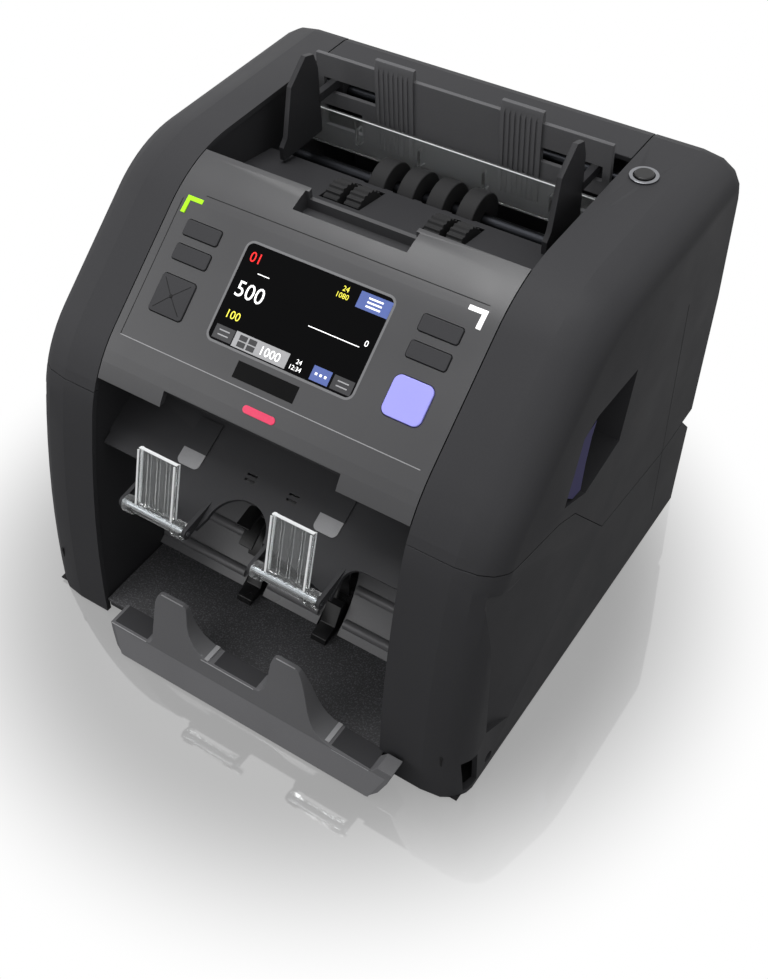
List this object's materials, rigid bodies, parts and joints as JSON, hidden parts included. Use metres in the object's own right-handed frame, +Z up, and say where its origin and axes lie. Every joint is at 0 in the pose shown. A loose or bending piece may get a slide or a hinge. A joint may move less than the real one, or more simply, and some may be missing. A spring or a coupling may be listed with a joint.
{
  "type": "banknote counter",
  "caption": "Desktop banknote counter: tilting control cover with screen and keys, top hopper with sliding note guides, reject pocket with clear flaps, stacker pocket below.",
  "frame": {"origin": "centre of the bounding box in plan, on the table under the rubber feet", "axes": "+X to the machine's right as its user's right hand finds it, +Y to the back, +Z up"},
  "size_m": [0.279, 0.288, 0.257],
  "materials": {
    "cover_plastic": "fine-textured dark grey moulding",
    "fascia_plastic": "satin mid grey moulding",
    "inner_plastic": "dark grey moulding",
    "frame_steel": "black painted sheet steel",
    "bright_steel": "turned or plated steel",
    "bush_brass": "sintered bronze",
    "rubber": "black rubber",
    "black_plastic": "black moulding",
    "clear_plastic": "clear moulding",
    "spring_strip": "grey plastic film",
    "screen_glass": "black screen window",
    "circuit_board": "green circuit board",
    "key_plastic": "dark grey key cap",
    "start_plastic": "lavender key cap",
    "red_lamp": "pink-red lamp window",
    "green_lamp": "green lamp window",
    "white_lamp": "white lamp window",
    "lever_plastic": "violet-blue moulding",
    "chrome_ring": "bright plated ring"
  },
  "bodies": {
    "chassis": {"base_pan": "frame_steel", "rubber_feet": "rubber", "left_side_plate": "frame_steel", "right_side_plate": "frame_steel", "lower_left_cover": "cover_plastic", "lower_right_cover": "cover_plastic", "upper_left_cover": "cover_plastic", "upper_right_cover": "cover_plastic", "rear_top_cover": "cover_plastic", "rear_panel": "frame_steel", "power_inlet": "black_plastic", "tie_rods": "bright_steel", "cover_screws": "bright_steel", "shaft_bushes": "bush_brass", "hopper_floor": "inner_plastic", "hopper_back_plate": "inner_plastic", "clear_feed_plate": "clear_plastic", "guide_rail": "bright_steel", "drive_motor": "bright_steel", "drive_belts": "rubber", "reject_deck": "inner_plastic", "deck_springs": "spring_strip", "flap_pins": "bright_steel", "pocket_floor": "inner_plastic", "pocket_guide": "inner_plastic", "note_fingers": "black_plastic", "front_tray": "fascia_plastic", "lever_pin": "bright_steel", "button_ring": "chrome_ring", "main_board": "circuit_board", "power_supply": "bright_steel"},
    "control_cover": {"front_cover": "fascia_plastic", "display_glass": "screen_glass", "display_module": "circuit_board", "badge_plate": "black_plastic", "status_light": "red_lamp", "left_corner_light": "green_lamp", "right_corner_light": "white_lamp", "key_boards": "circuit_board"},
    "rear_door": {"rear_door": "cover_plastic"},
    "power_switch": {"power_switch": "black_plastic"},
    "left_guide": {"left_note_guide": "inner_plastic"},
    "right_guide": {"right_note_guide": "inner_plastic"},
    "pick_roller": {"pick_shaft": "bright_steel", "pick_rollers": "rubber"},
    "feed_roller": {"feed_shaft": "bright_steel", "feed_rollers": "rubber"},
    "stacker": {"stacker_shaft": "bright_steel", "stacker_wheels": "black_plastic"},
    "motor_pulley": {"motor_pulley": "bright_steel"},
    "left_flap": {"left_flap": "clear_plastic"},
    "right_flap": {"right_flap": "clear_plastic"},
    "left_key_top": {"left_key_top": "key_plastic"},
    "left_key_low": {"left_key_low": "key_plastic"},
    "direction_pad": {"direction_pad": "key_plastic"},
    "right_key_top": {"right_key_top": "key_plastic"},
    "right_key_low": {"right_key_low": "key_plastic"},
    "start_key": {"start_key": "start_plastic"},
    "release_lever": {"release_lever": "lever_plastic"},
    "top_button": {"top_button": "key_plastic"}
  },
  "joints": [
    {"name": "cover_tilt", "type": "hinge", "parent": "chassis", "child": "control_cover", "pos_m": [-0.0025, -0.07301, 0.16], "axis": [1, 0, 0], "range_deg": [0, 50]},
    {"name": "door_open", "type": "hinge", "parent": "chassis", "child": "rear_door", "pos_m": [-0.0025, 0.12899, 0.07], "axis": [-1, 0, 0], "range_deg": [0, 80]},
    {"name": "power_rock", "type": "hinge", "parent": "chassis", "child": "power_switch", "pos_m": [0.0715, 0.12599, 0.0305], "axis": [1, 0, 0], "range_deg": [0, 12]},
    {"name": "right_guide_slide", "type": "slide", "parent": "chassis", "child": "right_guide", "axis": [-1, 0, 0], "range_m": [0, 0.024]},
    {"name": "left_guide_slide", "type": "slide", "parent": "chassis", "child": "left_guide", "axis": [1, 0, 0], "range_m": [0, 0.024]},
    {"name": "motor_spin", "type": "hinge", "parent": "chassis", "child": "motor_pulley", "pos_m": [-0.0025, 0.02499, 0.11], "axis": [1, 0, 0], "continuous": true},
    {"name": "feed_spin", "type": "hinge", "parent": "chassis", "child": "feed_roller", "pos_m": [-0.0025, 0.07799, 0.196], "axis": [1, 0, 0], "continuous": true},
    {"name": "pick_spin", "type": "hinge", "parent": "chassis", "child": "pick_roller", "pos_m": [-0.0025, 0.04699, 0.2], "axis": [1, 0, 0], "continuous": true},
    {"name": "stacker_spin", "type": "hinge", "parent": "chassis", "child": "stacker", "pos_m": [-0.0025, -0.04001, 0.058], "axis": [1, 0, 0], "continuous": true},
    {"name": "left_flap_swing", "type": "hinge", "parent": "chassis", "child": "left_flap", "pos_m": [-0.0435, -0.11901, 0.11], "axis": [1, 0, 0], "range_deg": [0, 85]},
    {"name": "right_flap_swing", "type": "hinge", "parent": "chassis", "child": "right_flap", "pos_m": [0.0385, -0.11901, 0.11], "axis": [1, 0, 0], "range_deg": [0, 85]},
    {"name": "lever_pull", "type": "hinge", "parent": "chassis", "child": "release_lever", "pos_m": [0.1305, -0.00601, 0.1735], "axis": [1, 0, 0], "range_deg": [0, 14], "stiffness_Nm_per_rad": 0.2},
    {"name": "top_button_press", "type": "slide", "parent": "chassis", "child": "top_button", "axis": [0, 0, -1], "range_m": [0, 0.002], "stiffness_N_per_m": 600},
    {"name": "left_key_top_press", "type": "slide", "parent": "control_cover", "child": "left_key_top", "axis": [0, 0.6088, -0.7934], "range_m": [0, 0.001], "stiffness_N_per_m": 500},
    {"name": "left_key_low_press", "type": "slide", "parent": "control_cover", "child": "left_key_low", "axis": [0, 0.6088, -0.7934], "range_m": [0, 0.001], "stiffness_N_per_m": 500},
    {"name": "direction_pad_press", "type": "slide", "parent": "control_cover", "child": "direction_pad", "axis": [0, 0.6088, -0.7934], "range_m": [0, 0.001], "stiffness_N_per_m": 500},
    {"name": "right_key_top_press", "type": "slide", "parent": "control_cover", "child": "right_key_top", "axis": [0, 0.6088, -0.7934], "range_m": [0, 0.001], "stiffness_N_per_m": 500},
    {"name": "right_key_low_press", "type": "slide", "parent": "control_cover", "child": "right_key_low", "axis": [0, 0.6088, -0.7934], "range_m": [0, 0.001], "stiffness_N_per_m": 500},
    {"name": "start_key_press", "type": "slide", "parent": "control_cover", "child": "start_key", "axis": [0, 0.6088, -0.7934], "range_m": [0, 0.001], "stiffness_N_per_m": 500}
  ],
  "couplings": [
    {"joint": "left_guide_slide", "follows": "right_guide_slide", "ratio": 1},
    {"joint": "feed_spin", "follows": "motor_spin", "ratio": 1},
    {"joint": "pick_spin", "follows": "motor_spin", "ratio": 1},
    {"joint": "stacker_spin", "follows": "motor_spin", "ratio": 1}
  ]
}
